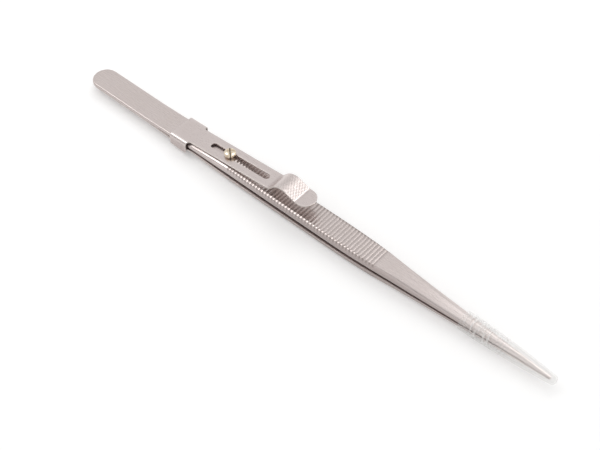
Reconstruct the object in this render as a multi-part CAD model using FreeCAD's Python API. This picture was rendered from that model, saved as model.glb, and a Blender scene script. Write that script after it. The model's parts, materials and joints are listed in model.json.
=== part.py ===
import FreeCAD, Part
import math
import os

# Slide-lock precision tweezers, in millimetres.
# While a piece is made, x runs from the tail end to the tips, y runs across, and z is measured
# from the plane where the two arms meet. save() moves it to the part's own frame: origin on the
# bench under the middle of the object, +X towards the tips, +Z up.

# Whole tool
arm_length = 165.0
overall_length = 166.6
cap_rear_radius = 2.85

# Arms: one strip each, thin at the tail, thickest under the fingers, fine at the tips
tail_half_width = 4.05
tail_thickness = 0.75
tail_bevel = 0.40
weld_end = 25.0
hinge_x = 57.0
hinge_slit = 0.02
grip_half_width = 3.92
grip_height = 2.60
grind_allowance = 0.03
grip_start = 85.0
grip_end = 102.5
smooth_end = 116.0
tip_half_width = 0.64
tip_height = 0.50

# Finger serrations across the back of each arm
groove_first = 58.06
groove_pitch = 1.111
groove_count = 48
groove_radius = 0.45
groove_depth = 0.09
groove_reach = 6.0

# Guide screw in the upper arm
screw_x = 55.6
shank_radius = 0.80
head_radius = 1.75
head_seat = 4.10
head_height = 1.05
head_round = 0.55
driver_slot_width = 0.5
driver_slot_depth = 0.45
driver_slot_turn = -43.0

# Lock slide: one folded sheet. Heights are those of the sheet's upper face.
sheet = 0.45
band_rear = 35.9
band_front = 42.2
band_half_width = 4.75
band_rear_height = 2.20
band_front_height = 2.45
band_bend = 1.10
tab_gap_half = 1.90
ear_rear_round = 1.8
ear_front_round = 2.2
ear_drop = 0.05
neck_x = 43.5
neck_slit = 0.05
neck_round = 0.95
neck_root = 0.60
neck_slope = 0.067
neck_web_height = 0.2
plate_rise = 0.090
plate_rear_half_width = 3.32
plate_front_half_width = 3.22
slot_rear = 48.4
slot_front = 70.5
slot_half_width = 1.00
crease_x = 72.9
hump_rear_slope = 1.15
hump_front_slope = 0.43
hump_radius = 4.6
crease_radius = 1.0
kink_x = 82.7
kink_height = 6.90
kink_radius = 1.5
tongue_tip = 87.1
tongue_height = 7.00

# Tip cap: a thin closed sleeve
cap_wall = 0.38
cap_rear = 138.0
cap_straight = 3.0
cap_front_radius = 1.38
cap_nose_round = 0.95

# Working sizes: longer than any piece is wide, and how near an edge must lie to be picked
far = 40.0
pick = 0.01


def vec(x, y, z):
    return FreeCAD.Vector(x, y, z)


def along(x, knots):
    """Straight-line value at x between (x, value) knots."""
    if x <= knots[0][0]:
        return knots[0][1]
    for (x0, v0), (x1, v1) in zip(knots, knots[1:]):
        if x <= x1:
            return v0 + (v1 - v0) * (x - x0) / (x1 - x0)
    return knots[-1][1]


# How the arm's section changes from tail to tip. Heights are above the plane between the arms.
# The grip's back stands proud by the grinding allowance until whole_arm() grinds it flat.
rough_height = grip_height + grind_allowance
back_height = [(weld_end, tail_thickness), (36.0, 1.17), (42.0, 1.48), (48.0, 1.86), (54.0, 2.15),
               (60.0, 2.34), (70.0, 2.50), (grip_start, rough_height), (smooth_end, rough_height),
               (125.0, 2.45), (135.0, 2.20), (150.0, 1.55), (arm_length, tip_height)]
side_height = [(weld_end, tail_thickness - tail_bevel), (42.0, 0.98), (60.0, 1.62), (grip_start, 1.75),
               (grip_end, 1.72), (smooth_end, 1.60), (135.0, 1.10), (150.0, 0.70), (arm_length, 0.22)]
inner_height = [(weld_end, 0.0), (36.0, 0.25), (48.0, 0.47), (60.0, 0.65), (grip_start, 0.70),
                (grip_end, 0.60), (smooth_end, 0.50), (135.0, 0.40), (150.0, 0.24), (arm_length, 0.06)]
side_width = [(38.0, tail_half_width), (45.0, 3.80), (60.0, 3.86), (grip_start, grip_half_width),
              (97.0, 3.88), (grip_end, 3.76), (110.0, 3.39), (smooth_end, 3.00), (125.0, 2.53),
              (135.0, 2.04), (arm_length, tip_half_width)]
flat_width = [(38.0, tail_half_width - tail_bevel), (45.0, 3.15), (60.0, 3.20), (grip_start, 3.28),
              (97.0, 3.26), (grip_end, 3.18), (110.0, 2.86), (smooth_end, 2.45), (135.0, 0.65),
              (142.0, 0.25), (arm_length, 0.15)]
stations = [weld_end, 36.0, 38.0, 42.0, 45.0, 48.0, 54.0, 60.0, 70.0, grip_start, 97.0, grip_end, 110.0,
            smooth_end, 125.0, 135.0, 142.0, 150.0, 157.0, arm_length]


def arm_section(x):
    """Six-sided section: flat inner face, upright sides, two bevels and a flat back."""
    side = along(x, side_width)
    flat = along(x, flat_width)
    inner = along(x, inner_height)
    shoulder = along(x, side_height)
    back = along(x, back_height)
    corners = [(-side, inner), (side, inner), (side, shoulder), (flat, back), (-flat, back),
               (-side, shoulder)]
    points = [vec(x, y, z) for y, z in corners]
    return Part.makePolygon(points + points[:1])


def arm_blade():
    """The arm forward of the weld."""
    return Part.makeLoft([arm_section(x) for x in stations], True, True)


def arm_tail():
    """The flat welded tail with its rounded end and bevelled edge."""
    r = tail_half_width
    end_arc = Part.Arc(vec(r, r, 0), vec(0, 0, 0), vec(r, -r, 0)).toShape()
    sides = Part.makePolygon([vec(r, -r, 0), vec(weld_end, -r, 0), vec(weld_end, r, 0), vec(r, r, 0)])
    outline = Part.Wire([end_arc] + sides.Edges)
    body = Part.Face(outline).extrude(vec(0, 0, tail_thickness))
    rim = []
    for edge in body.Edges:
        middle = edge.valueAt((edge.FirstParameter + edge.LastParameter) / 2)
        if middle.z > tail_thickness - pick and middle.x < weld_end - pick:
            rim.append(edge)
    return body.makeChamfer(tail_bevel, rim)


def cross_grooves():
    """Round-bottomed grooves that follow the arm's back."""
    tools = []
    for i in range(groove_count):
        x = groove_first + i * groove_pitch
        z = min(along(x, back_height), grip_height) + groove_radius - groove_depth
        start = vec(x, -groove_reach, z)
        tools.append(Part.makeCylinder(groove_radius, 2 * groove_reach, start, vec(0, 1, 0)))
    return Part.makeCompound(tools)


def whole_arm():
    blank = arm_tail().fuse(arm_blade()).removeSplitter()
    ground = blank.cut(Part.makeBox(arm_length, 2 * far, far, vec(0, -far, grip_height)))
    return ground.cut(cross_grooves())


def mirrored(shape):
    return shape.mirror(vec(0, 0, 0), vec(0, 0, 1))


def slab(x0, x1):
    return Part.makeBox(x1 - x0, 2 * far, 2 * far, vec(x0, -far, -far))


def screw_hole():
    return Part.makeCylinder(shank_radius, far, vec(screw_x, 0, 0), vec(0, 0, 1))


def upper_arm_heel(arm):
    return arm.common(slab(-far, hinge_x)).cut(screw_hole())


def upper_arm(arm):
    return arm.common(slab(hinge_x + hinge_slit, arm_length + far))


def guide_screw():
    foot = along(screw_x, inner_height)
    head = Part.makeCylinder(head_radius, head_height, vec(screw_x, 0, head_seat))
    top = [e for e in head.Edges if e.BoundBox.ZMin > head_seat + head_height - pick]
    head = head.makeFillet(head_round, top)
    shank = Part.makeCylinder(shank_radius, head_seat - foot, vec(screw_x, 0, foot))
    driver = Part.makeBox(2 * far, driver_slot_width, far, vec(-far, -driver_slot_width / 2, 0))
    driver.rotate(vec(0, 0, 0), vec(0, 0, 1), driver_slot_turn)
    driver.translate(vec(screw_x, 0, head_seat + head_height - driver_slot_depth))
    return head.cut(driver).fuse(shank)


def arc_inset(radius):
    """How far the middle of a quarter round lies inside its square corner."""
    return radius * (1 - math.sqrt(0.5))


def line_cross(p, slope_p, q, slope_q):
    """Where two lines in the side view meet."""
    x = (q[1] - p[1] + slope_p * p[0] - slope_q * q[0]) / (slope_p - slope_q)
    return (x, p[1] + slope_p * (x - p[0]))


def slope(p, q):
    return (q[1] - p[1]) / (q[0] - p[0])


def shifted_path(points, drop):
    """The same bent line, moved square to itself by drop."""
    lines = []
    for p, q in zip(points, points[1:]):
        length = math.dist(p, q)
        offset = (drop * (q[1] - p[1]) / length, -drop * (q[0] - p[0]) / length)
        lines.append(((p[0] + offset[0], p[1] + offset[1]), slope(p, q)))
    first = lines[0]
    moved = [(points[0][0], first[0][1] + first[1] * (points[0][0] - first[0][0]))]
    for (p, sp), (q, sq) in zip(lines, lines[1:]):
        moved.append(line_cross(p, sp, q, sq))
    last = lines[-1]
    moved.append((points[-1][0], last[0][1] + last[1] * (points[-1][0] - last[0][0])))
    return moved


def bent_edges(points, radii):
    """Straight runs in the side view, joined by arcs of the given radii."""
    edges = []
    start = vec(points[0][0], 0, points[0][1])
    for i, radius in enumerate(radii, start=1):
        corner = vec(points[i][0], 0, points[i][1])
        back = vec(points[i - 1][0], 0, points[i - 1][1]).sub(corner).normalize()
        ahead = vec(points[i + 1][0], 0, points[i + 1][1]).sub(corner).normalize()
        half = back.getAngle(ahead) / 2
        reach = radius / math.tan(half)
        inward = back.add(ahead).normalize()
        middle = corner.add(inward.multiply(radius / math.sin(half) - radius))
        tangent_in = corner.add(back.multiply(reach))
        tangent_out = corner.add(ahead.multiply(reach))
        edges.append(Part.LineSegment(start, tangent_in).toShape())
        edges.append(Part.Arc(tangent_in, middle, tangent_out).toShape())
        start = tangent_out
    edges.append(Part.LineSegment(start, vec(points[-1][0], 0, points[-1][1])).toShape())
    return edges


def lock_line():
    """Upper face of the lock's sheet, from the neck to the end of the tongue."""
    neck = (neck_x + neck_slit, neck_height())
    crease = (crease_x, neck_height() + plate_rise * (crease_x - neck_x))
    kink = (kink_x, kink_height)
    crown = line_cross(crease, hump_rear_slope, kink, -hump_front_slope)
    return [neck, crease, crown, kink, (tongue_tip, tongue_height)]


def neck_height():
    return band_front_height + (neck_x - band_front) * neck_slope


def bent_sheet():
    """The plate, thumb hump and tongue as one bent strip, still square at its sides."""
    top = lock_line()
    low = shifted_path(top, sheet)
    upper = bent_edges(top, [crease_radius, hump_radius, kink_radius])
    lower = bent_edges(low, [crease_radius + sheet, hump_radius - sheet, kink_radius + sheet])
    ends = [Part.LineSegment(vec(a[0], 0, a[1]), vec(b[0], 0, b[1])).toShape()
            for a, b in ((top[0], low[0]), (top[-1], low[-1]))]
    outline = Part.Wire(Part.__sortEdges__(upper + lower + ends))
    strip = Part.Face(outline).extrude(vec(0, 2 * far, 0))
    strip.translate(vec(0, -far, 0))
    return strip


def plate_outline():
    """Seen from above: a long tapering plate with a round tongue."""
    r = plate_front_half_width
    x0 = neck_x + neck_slit
    w = plate_rear_half_width
    round_x = tongue_tip - r
    arc = Part.Arc(vec(round_x, r, 0), vec(tongue_tip, 0, 0), vec(round_x, -r, 0)).toShape()
    sides = Part.makePolygon([vec(round_x, -r, 0), vec(crease_x, -r, 0), vec(x0, -w, 0), vec(x0, w, 0),
                              vec(crease_x, r, 0), vec(round_x, r, 0)])
    return Part.Face(Part.Wire([arc] + sides.Edges)).extrude(vec(0, 0, far))


def plate_slot():
    r = slot_half_width
    box = Part.makeBox(slot_front - slot_rear - 2 * r, 2 * r, far, vec(slot_rear + r, -r, 0))
    ends = [Part.makeCylinder(r, far, vec(x, 0, 0)) for x in (slot_rear + r, slot_front - r)]
    return box.fuse(ends)


def lock_plate():
    return bent_sheet().common(plate_outline()).cut(plate_slot())


def band_section(x, height):
    """Folded C section: top, two sides and two tabs under the lower arm."""
    half = band_half_width
    wires = []
    ring = []
    outside = (half, height, band_bend, 1)
    inside = (half - sheet, height - sheet, band_bend - sheet, -1)
    for w, h, r, order in (outside, inside):
        k = arc_inset(r)
        run = [(-tab_gap_half, -h), (-w + r, -h), ("arc", -w + k, -h + k), (-w, -h + r), (-w, h - r),
               ("arc", -w + k, h - k), (-w + r, h), (w - r, h), ("arc", w - k, h - k), (w, h - r),
               (w, -h + r), ("arc", w - k, -h + k), (w - r, -h), (tab_gap_half, -h)]
        ring.append(run[::order])
    points = ring[0] + ring[1]
    points.append(points[0])
    last = points[0]
    i = 1
    while i < len(points):
        if points[i][0] == "arc":
            through = vec(x, points[i][1], points[i][2])
            end = points[i + 1]
            wires.append(Part.Arc(vec(x, *last), through, vec(x, *end)).toShape())
            i += 2
        else:
            end = points[i]
            wires.append(Part.LineSegment(vec(x, *last), vec(x, *end)).toShape())
            i += 1
        last = end
    return Part.Wire(wires)


def ear_outline():
    """Side view of the band: its lower corners are rounded off."""
    top = band_front_height + sheet
    rear = band_rear
    front = band_front
    a = ear_rear_round
    b = ear_front_round
    bottom = -band_front_height - ear_drop
    edges = [Part.LineSegment(vec(rear, 0, top), vec(rear, 0, bottom + a)),
             Part.Arc(vec(rear, 0, bottom + a), vec(rear + arc_inset(a), 0, bottom + arc_inset(a)),
                      vec(rear + a, 0, bottom)),
             Part.LineSegment(vec(rear + a, 0, bottom), vec(front - b, 0, bottom)),
             Part.Arc(vec(front - b, 0, bottom), vec(front - arc_inset(b), 0, bottom + arc_inset(b)),
                      vec(front, 0, bottom + b)),
             Part.LineSegment(vec(front, 0, bottom + b), vec(front, 0, top)),
             Part.LineSegment(vec(front, 0, top), vec(rear, 0, top))]
    face = Part.Face(Part.Wire([e.toShape() for e in edges])).extrude(vec(0, 2 * far, 0))
    face.translate(vec(0, -far, 0))
    return face


def neck_tab():
    """Short flat step between the band and the plate, with filleted corners."""
    w = plate_rear_half_width
    r = neck_round
    k = arc_inset(r)
    x0 = band_front - neck_root
    corners = [vec(x0, -w, 0), vec(x0, w, 0), vec(neck_x, w, 0), vec(neck_x, -w, 0)]
    plan = Part.Face(Part.makePolygon(corners + corners[:1]))
    for side in (1, -1):
        corner = vec(band_front, side * w, 0)
        foot = vec(band_front, side * (w + r), 0)
        toe = vec(band_front + r, side * w, 0)
        through = vec(band_front + k, side * (w + k), 0)
        web = [Part.LineSegment(corner, foot), Part.Arc(foot, through, toe),
               Part.LineSegment(toe, corner)]
        plan = plan.fuse(Part.Face(Part.Wire([e.toShape() for e in web])))
    column = plan.extrude(vec(0, 0, far))
    z0 = band_front_height - neck_slope * neck_root
    side_view = [(x0, z0), (neck_x, neck_height()), (neck_x, neck_height() - sheet), (x0, z0 - sheet)]
    points = [vec(x, -far, z) for x, z in side_view]
    strip = Part.Face(Part.makePolygon(points + points[:1])).extrude(vec(0, 2 * far, 0))
    return strip.common(column).common(band_envelope())


def band_envelope():
    """Solid of the band's outer shape, carried forward past the neck, to round its web."""
    w = band_half_width
    h = band_front_height + neck_web_height
    box = Part.makeBox(far, 2 * w, 2 * h, vec(band_rear, -w, -h))
    long_edges = [e for e in box.Edges if e.BoundBox.XLength > pick]
    return box.makeFillet(band_bend, long_edges)


def lock_band():
    rear = band_section(band_rear, band_rear_height)
    front = band_section(band_front, band_front_height)
    shell = Part.makeLoft([rear, front], True, True)
    return shell.common(ear_outline()).fuse(neck_tab()).removeSplitter()


def cap_profile(inset):
    """Half outline of the sleeve, inset by the wall for the bore."""
    rear = cap_rear_radius - inset
    front = cap_front_radius - inset
    nose = overall_length - inset
    r = cap_nose_round - inset / 2
    k = arc_inset(r)
    straight = cap_rear + cap_straight
    start = cap_rear - inset
    edges = [Part.LineSegment(vec(start, 0, 0), vec(start, 0, rear)),
             Part.LineSegment(vec(start, 0, rear), vec(straight, 0, rear)),
             Part.LineSegment(vec(straight, 0, rear), vec(nose - r, 0, front)),
             Part.Arc(vec(nose - r, 0, front), vec(nose - k, 0, front - k), vec(nose, 0, front - r)),
             Part.LineSegment(vec(nose, 0, front - r), vec(nose, 0, 0)),
             Part.LineSegment(vec(nose, 0, 0), vec(start, 0, 0))]
    face = Part.Face(Part.Wire([e.toShape() for e in edges]))
    return face.revolve(vec(0, 0, 0), vec(1, 0, 0), 360)


def tip_cap():
    return cap_profile(0).cut(cap_profile(cap_wall))


def save(name, shape):
    placed = shape.copy()
    placed.translate(vec(-overall_length / 2, 0, cap_rear_radius))
    solids = placed.Solids
    print(name, "solids", len(solids), "valid", placed.isValid(), "volume", round(placed.Volume, 2))
    result = solids[0] if len(solids) == 1 else Part.makeCompound(solids)
    result.exportStep("parts/" + name + ".step")


os.makedirs("parts", exist_ok=True)
arm = whole_arm()
save("lower_arm", mirrored(arm))
save("upper_arm_heel", upper_arm_heel(arm))
save("upper_arm", upper_arm(arm))
save("guide_screw", guide_screw())
save("lock_band", lock_band())
save("lock_plate", lock_plate())
save("tip_cap", tip_cap())
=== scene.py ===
import json
import bpy
from math import cos, sin, tan, pi, sqrt, asin, radians, hypot
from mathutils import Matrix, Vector
from mathutils.geometry import delaunay_2d_cdt


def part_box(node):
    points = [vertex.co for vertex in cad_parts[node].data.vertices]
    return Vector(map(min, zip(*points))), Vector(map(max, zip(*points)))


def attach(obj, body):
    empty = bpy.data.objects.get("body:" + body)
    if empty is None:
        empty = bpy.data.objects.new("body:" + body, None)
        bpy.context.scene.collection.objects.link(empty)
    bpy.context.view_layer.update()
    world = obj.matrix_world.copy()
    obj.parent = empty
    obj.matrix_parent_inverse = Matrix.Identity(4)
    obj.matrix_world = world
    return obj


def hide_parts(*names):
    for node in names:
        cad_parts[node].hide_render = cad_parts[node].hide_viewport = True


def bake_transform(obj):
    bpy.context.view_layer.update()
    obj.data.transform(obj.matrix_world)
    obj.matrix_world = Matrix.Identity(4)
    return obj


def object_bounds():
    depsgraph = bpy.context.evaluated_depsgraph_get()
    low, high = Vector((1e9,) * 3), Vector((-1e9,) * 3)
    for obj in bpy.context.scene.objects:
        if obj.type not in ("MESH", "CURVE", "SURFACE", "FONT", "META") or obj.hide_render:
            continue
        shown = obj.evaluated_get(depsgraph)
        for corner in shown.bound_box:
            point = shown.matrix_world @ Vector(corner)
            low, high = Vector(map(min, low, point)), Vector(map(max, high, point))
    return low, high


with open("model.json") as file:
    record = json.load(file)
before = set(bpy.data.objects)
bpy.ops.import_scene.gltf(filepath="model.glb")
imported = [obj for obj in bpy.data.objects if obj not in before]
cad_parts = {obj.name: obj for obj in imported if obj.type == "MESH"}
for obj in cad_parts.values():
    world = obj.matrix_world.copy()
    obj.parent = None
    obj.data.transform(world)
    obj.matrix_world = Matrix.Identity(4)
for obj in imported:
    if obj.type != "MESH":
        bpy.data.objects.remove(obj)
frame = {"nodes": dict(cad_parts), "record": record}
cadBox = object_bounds()

mm = 0.001
tailX = cadBox[0].x
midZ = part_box("lower_arm")[1].z  # the plane where the two arms meet
armLength = (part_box("lower_arm")[1].x - tailX) / mm
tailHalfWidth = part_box("lower_arm")[1].y / mm
gripHeight = (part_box("upper_arm")[1].z - midZ) / mm


def place(x, y, z):
    # millimetres from the tail's end, the middle line and the arms' meeting plane, to the frame
    return Vector((tailX + x * mm, y * mm, midZ + z * mm))


def smoothAlong(x, knots):
    # a smooth curve through (x, value) knots that never overshoots them
    if x <= knots[0][0]:
        return knots[0][1]
    if x >= knots[-1][0]:
        return knots[-1][1]
    k = max(i for i in range(len(knots) - 1) if knots[i][0] <= x)
    rise = [(b[1] - a[1]) / (b[0] - a[0]) for a, b in zip(knots, knots[1:])]

    def lean(i):
        if i == 0 or i == len(knots) - 1:
            return rise[min(i, len(rise) - 1)]
        a, b = rise[i - 1], rise[i]
        return 0.0 if a * b <= 0 else 2 * a * b / (a + b)

    (x0, v0), (x1, v1) = knots[k], knots[k + 1]
    h = x1 - x0
    t = (x - x0) / h
    return (v0 * (1 + 2 * t) * (1 - t) ** 2 + h * lean(k) * t * (1 - t) ** 2
            + v1 * t * t * (3 - 2 * t) - h * lean(k + 1) * t * t * (1 - t))


def makePiece(name, points, faces, slotName, sharpAngle=38, soilAndShade=None):
    # how dark each point is painted, from 0 to 1: dirt and scale, with painted shade in the grooves
    # under the thumb rest, between the beads on the edge facet and along the slot's walls
    mesh = bpy.data.meshes.new(name)
    mesh.from_pydata(points, [], faces)
    if soilAndShade:
        mesh.attributes.new("soilAndShade", "FLOAT", "POINT").data.foreach_set("value", soilAndShade)
    mesh.validate()
    piece = bpy.data.objects.new(name, mesh)
    bpy.context.scene.collection.objects.link(piece)
    mesh.shade_smooth()
    mesh.set_sharp_from_angle(angle=radians(sharpAngle))
    mesh.materials.append(finishes[slotName])
    return piece


def stitch(rows, closed=False):
    # quads between equal rows of point numbers, leaving out what collapses to nothing
    faces = []
    pairs = list(zip(rows, rows[1:])) + ([(rows[-1], rows[0])] if closed else [])
    for a, b in pairs:
        for i in range(len(a) - 1):
            loop = [a[i], b[i], b[i + 1], a[i + 1]]
            kept = [p for j, p in enumerate(loop) if p != loop[j - 1]]
            if len(kept) > 2:
                faces.append(kept)
    return faces


def numberPoints(rows):
    # gives every place one number, so that rows that meet share their points
    points = []
    known = {}
    numbered = []
    for row in rows:
        numbered.append([])
        for p in row:
            key = tuple(round(c, 8) for c in p)
            if key not in known:
                known[key] = len(points)
                points.append(p)
            numbered[-1].append(known[key])
    return points, numbered


def newGroup(name, inputs, outputs):
    group = bpy.data.node_groups.new(name, "ShaderNodeTree")
    for label, kind, value in inputs:
        socket = group.interface.new_socket(name=label, in_out="INPUT", socket_type=kind)
        socket.default_value = value
    for label, kind in outputs:
        group.interface.new_socket(name=label, in_out="OUTPUT", socket_type=kind)
    return group, group.nodes.new("NodeGroupInput"), group.nodes.new("NodeGroupOutput")


def node(tree, kind, **settings):
    made = tree.nodes.new(kind)
    for key, value in settings.items():
        if key.startswith("in_"):
            made.inputs[int(key[3:])].default_value = value
        else:
            setattr(made, key, value)
    return made


scratchDetail, cloudDetail = 3.0, 4.0  # octaves of noise


def buildBrushGrain():
    # long fine scratches with a broad unevenness under them
    group, start, end = newGroup("brushGrain", [
        ("Length", "NodeSocketFloat", 260.0), ("Width", "NodeSocketFloat", 9000.0),
        ("Cloud", "NodeSocketFloat", 140.0)],
        [("Scratch", "NodeSocketFloat"), ("Cloud", "NodeSocketFloat")])
    link = group.links.new
    where = node(group, "ShaderNodeTexCoord")
    stretch = node(group, "ShaderNodeCombineXYZ")
    link(start.outputs["Length"], stretch.inputs[0])
    link(start.outputs["Width"], stretch.inputs[1])
    link(start.outputs["Width"], stretch.inputs[2])
    scaled = node(group, "ShaderNodeVectorMath", operation="MULTIPLY")
    link(where.outputs["Object"], scaled.inputs[0])
    link(stretch.outputs[0], scaled.inputs[1])
    lines = node(group, "ShaderNodeTexNoise")
    lines.inputs["Scale"].default_value = 1.0
    lines.inputs["Detail"].default_value = scratchDetail
    link(scaled.outputs[0], lines.inputs["Vector"])
    cloud = node(group, "ShaderNodeTexNoise")
    cloud.inputs["Detail"].default_value = cloudDetail
    link(where.outputs["Object"], cloud.inputs["Vector"])
    link(start.outputs["Cloud"], cloud.inputs["Scale"])
    link(lines.outputs[0], end.inputs["Scratch"])
    link(cloud.outputs[0], end.inputs["Cloud"])
    return group


flankFrom, flankFull = 0.62, 0.25  # how level a surface still is where it starts to count as a side
noiseLow, noiseHigh = 0.3, 0.7  # the band in which nearly all of a noise lies


def buildEdgeAndSideMasks():
    # masks for the sharp corners, the bottoms of grooves and the upright sides, the last one for
    # painted shade
    group, start, end = newGroup("edgeAndSideMasks", [("Reach", "NodeSocketFloat", 0.05)],
                                 [("Corner", "NodeSocketFloat"), ("Hollow", "NodeSocketFloat"),
                                  ("SideShade", "NodeSocketFloat")])
    link = group.links.new
    shape = node(group, "ShaderNodeNewGeometry")
    high = node(group, "ShaderNodeMath", operation="ADD", in_0=0.5)
    low = node(group, "ShaderNodeMath", operation="SUBTRACT", in_0=0.5)
    link(start.outputs["Reach"], high.inputs[1])
    link(start.outputs["Reach"], low.inputs[1])
    for limit, label in ((high, "Corner"), (low, "Hollow")):
        mask = node(group, "ShaderNodeMapRange", in_1=0.5)
        link(shape.outputs["Pointiness"], mask.inputs[0])
        link(limit.outputs[0], mask.inputs[2])
        link(mask.outputs[0], end.inputs[label])
    # painted shade: upright sides get a darker colour, as they face the shaded floor beside the tool
    facing = node(group, "ShaderNodeSeparateXYZ")
    link(shape.outputs["Normal"], facing.inputs[0])
    level = node(group, "ShaderNodeMath", operation="ABSOLUTE")
    link(facing.outputs[2], level.inputs[0])
    sideShade = node(group, "ShaderNodeMapRange", in_1=flankFrom, in_2=flankFull)
    link(level.outputs[0], sideShade.inputs[0])
    link(sideShade.outputs[0], end.inputs["SideShade"])
    return group


grainGroup = buildBrushGrain()
maskGroup = buildEdgeAndSideMasks()


def useGroup(tree, group, **values):
    made = tree.nodes.new("ShaderNodeGroup")
    made.node_tree = group
    for key, value in values.items():
        made.inputs[key].default_value = value
    return made


def mixColour(tree, factor, a, b):
    mix = tree.nodes.new("ShaderNodeMix")
    mix.data_type = "RGBA"
    for index, value in ((0, factor), (6, a), (7, b)):
        if isinstance(value, bpy.types.NodeSocket):
            tree.links.new(value, mix.inputs[index])
        else:
            mix.inputs[index].default_value = value
    return mix.outputs[2]


def newMaterial(name):
    made = bpy.data.materials.new(name)
    made.use_nodes = True
    tree = made.node_tree
    shader = tree.nodes["Principled BSDF"]
    return made, tree, shader


# colours of the flat faces, of corners and hollows, of the painted shade on the sides, of dirt with
# painted shade in the grooves, and of the painted highlight on the tip
armSteel = {
    "pale": (0.655, 0.585, 0.57, 1), "warm": (0.61, 0.54, 0.515, 1),
    "corner": (0.45, 0.395, 0.38, 1), "hollow": (0.55, 0.485, 0.47, 1),
    "sideShade": (0.45, 0.39, 0.375, 1), "soilAndShade": (0.24, 0.20, 0.185, 1),
    "highlightColour": (0.86, 0.785, 0.76, 1),
    # stretches of the tool, in millimetres from the tail, over which each change sets in: the
    # painted highlight towards the tip, the painted shade on the sides, and the tip where that shade
    # gives way to the highlight colour
    "tipHighlight": (124.0, 148.0), "shadedSides": (54.0, 78.0), "brightTip": (138.0, 154.0),
    "roughness": (0.24, 0.34), "scratchDepth": 0.000004, "scratchStrength": 0.5,
    "brush": (260.0, 9000.0, 140.0), "reach": 0.05}
lockSteel = {
    "pale": (0.655, 0.585, 0.57, 1), "warm": (0.62, 0.55, 0.53, 1),
    "corner": (0.74, 0.68, 0.655, 1), "hollow": (0.33, 0.285, 0.275, 1),
    # painted shade on the upright walls; the soil colour is dirt and scale together with painted
    # shade
    "sideShade": (0.52, 0.455, 0.44, 1), "soilAndShade": (0.19, 0.165, 0.14, 1),
    "highlightColour": (0.655, 0.585, 0.57, 1),
    "tipHighlight": (118.0, 140.0), "shadedSides": (0.0, 1.0), "brightTip": (148.0, 160.0),
    "roughness": (0.26, 0.36), "scratchDepth": 0.000004, "scratchStrength": 0.5,
    "brush": (320.0, 7000.0, 170.0), "reach": 0.05}


def roughen(tree, noise, limits, shader):
    # lets the roughness wander between two limits with a noise
    low, high = limits
    valueNode = node(tree, "ShaderNodeMapRange", in_1=noiseLow, in_2=noiseHigh, in_3=low, in_4=high)
    tree.links.new(noise, valueNode.inputs[0])
    tree.links.new(valueNode.outputs[0], shader.inputs["Roughness"])


def scratch(tree, noise, look, shader):
    bump = node(tree, "ShaderNodeBump")
    bump.inputs["Strength"].default_value = look["scratchStrength"]
    bump.inputs["Distance"].default_value = look["scratchDepth"]
    tree.links.new(noise, bump.inputs["Height"])
    tree.links.new(bump.outputs[0], shader.inputs["Normal"])


def satinMaterial(name, look):
    made, tree, shader = newMaterial(name)
    link = tree.links.new
    length, width, cloud = look["brush"]
    grain = useGroup(tree, grainGroup, Length=length, Width=width, Cloud=cloud)
    masks = useGroup(tree, maskGroup, Reach=look["reach"])
    base = mixColour(tree, grain.outputs["Cloud"], look["pale"], look["warm"])
    where = node(tree, "ShaderNodeTexCoord")
    split = node(tree, "ShaderNodeSeparateXYZ")
    link(where.outputs["Object"], split.inputs[0])
    along = {}
    for change in ("tipHighlight", "shadedSides", "brightTip"):
        start, end = look[change]
        ramp = node(tree, "ShaderNodeMapRange", in_1=place(start, 0, 0).x,
                    in_2=place(end, 0, 0).x)
        link(split.outputs[0], ramp.inputs[0])
        along[change] = ramp.outputs[0]
    # painted highlight: the colour grows lighter towards the tip
    base = mixColour(tree, along["tipHighlight"], base, look["highlightColour"])
    # painted shade on the upright sides, which gives way to the highlight colour near the tip
    sideShade = mixColour(tree, along["brightTip"], look["sideShade"], look["highlightColour"])
    valueNode = node(tree, "ShaderNodeMath", operation="MULTIPLY")
    link(masks.outputs["SideShade"], valueNode.inputs[0])
    link(along["shadedSides"], valueNode.inputs[1])
    base = mixColour(tree, valueNode.outputs[0], base, sideShade)
    # this attribute darkens the colour: dirt and scale, partly painted shade
    soilShadeMask = node(tree, "ShaderNodeAttribute", attribute_name="soilAndShade")
    base = mixColour(tree, soilShadeMask.outputs["Fac"], base, look["soilAndShade"])
    base = mixColour(tree, masks.outputs["Corner"], base, look["corner"])
    base = mixColour(tree, masks.outputs["Hollow"], base, look["hollow"])
    link(base, shader.inputs["Base Color"])
    shader.inputs["Metallic"].default_value = 1.0
    roughen(tree, grain.outputs["Scratch"], look["roughness"], shader)
    scratch(tree, grain.outputs["Scratch"], look, shader)
    return made


screw = {
    "x": 55.6, "shank": 0.80, "head": 1.75, "foot": 0.70, "seat": 4.10, "top": 5.15,
    "rimHeight": 0.38, "slotWidth": 0.34, "slotDepth": 0.45, "turn": -43.0,
    "chamfer": 0.1, "chamferRound": 0.03, "softEdge": 0.05, "domeSteps": 9, "roundSteps": 72}

screwNickel = {
    "plate": (0.82, 0.73, 0.60, 1), "tarnish": (0.62, 0.50, 0.36, 1), "blotches": (0.42, 0.60),
    "soilAndShade": (0.13, 0.10, 0.075, 1), "slotShadeSpread": (0.04, -0.02),  # painted shade in the driver slot, reaching past and inside the slot's walls
    "roughness": (0.08, 0.18), "brush": (900.0, 900.0, 1300.0)}


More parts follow.
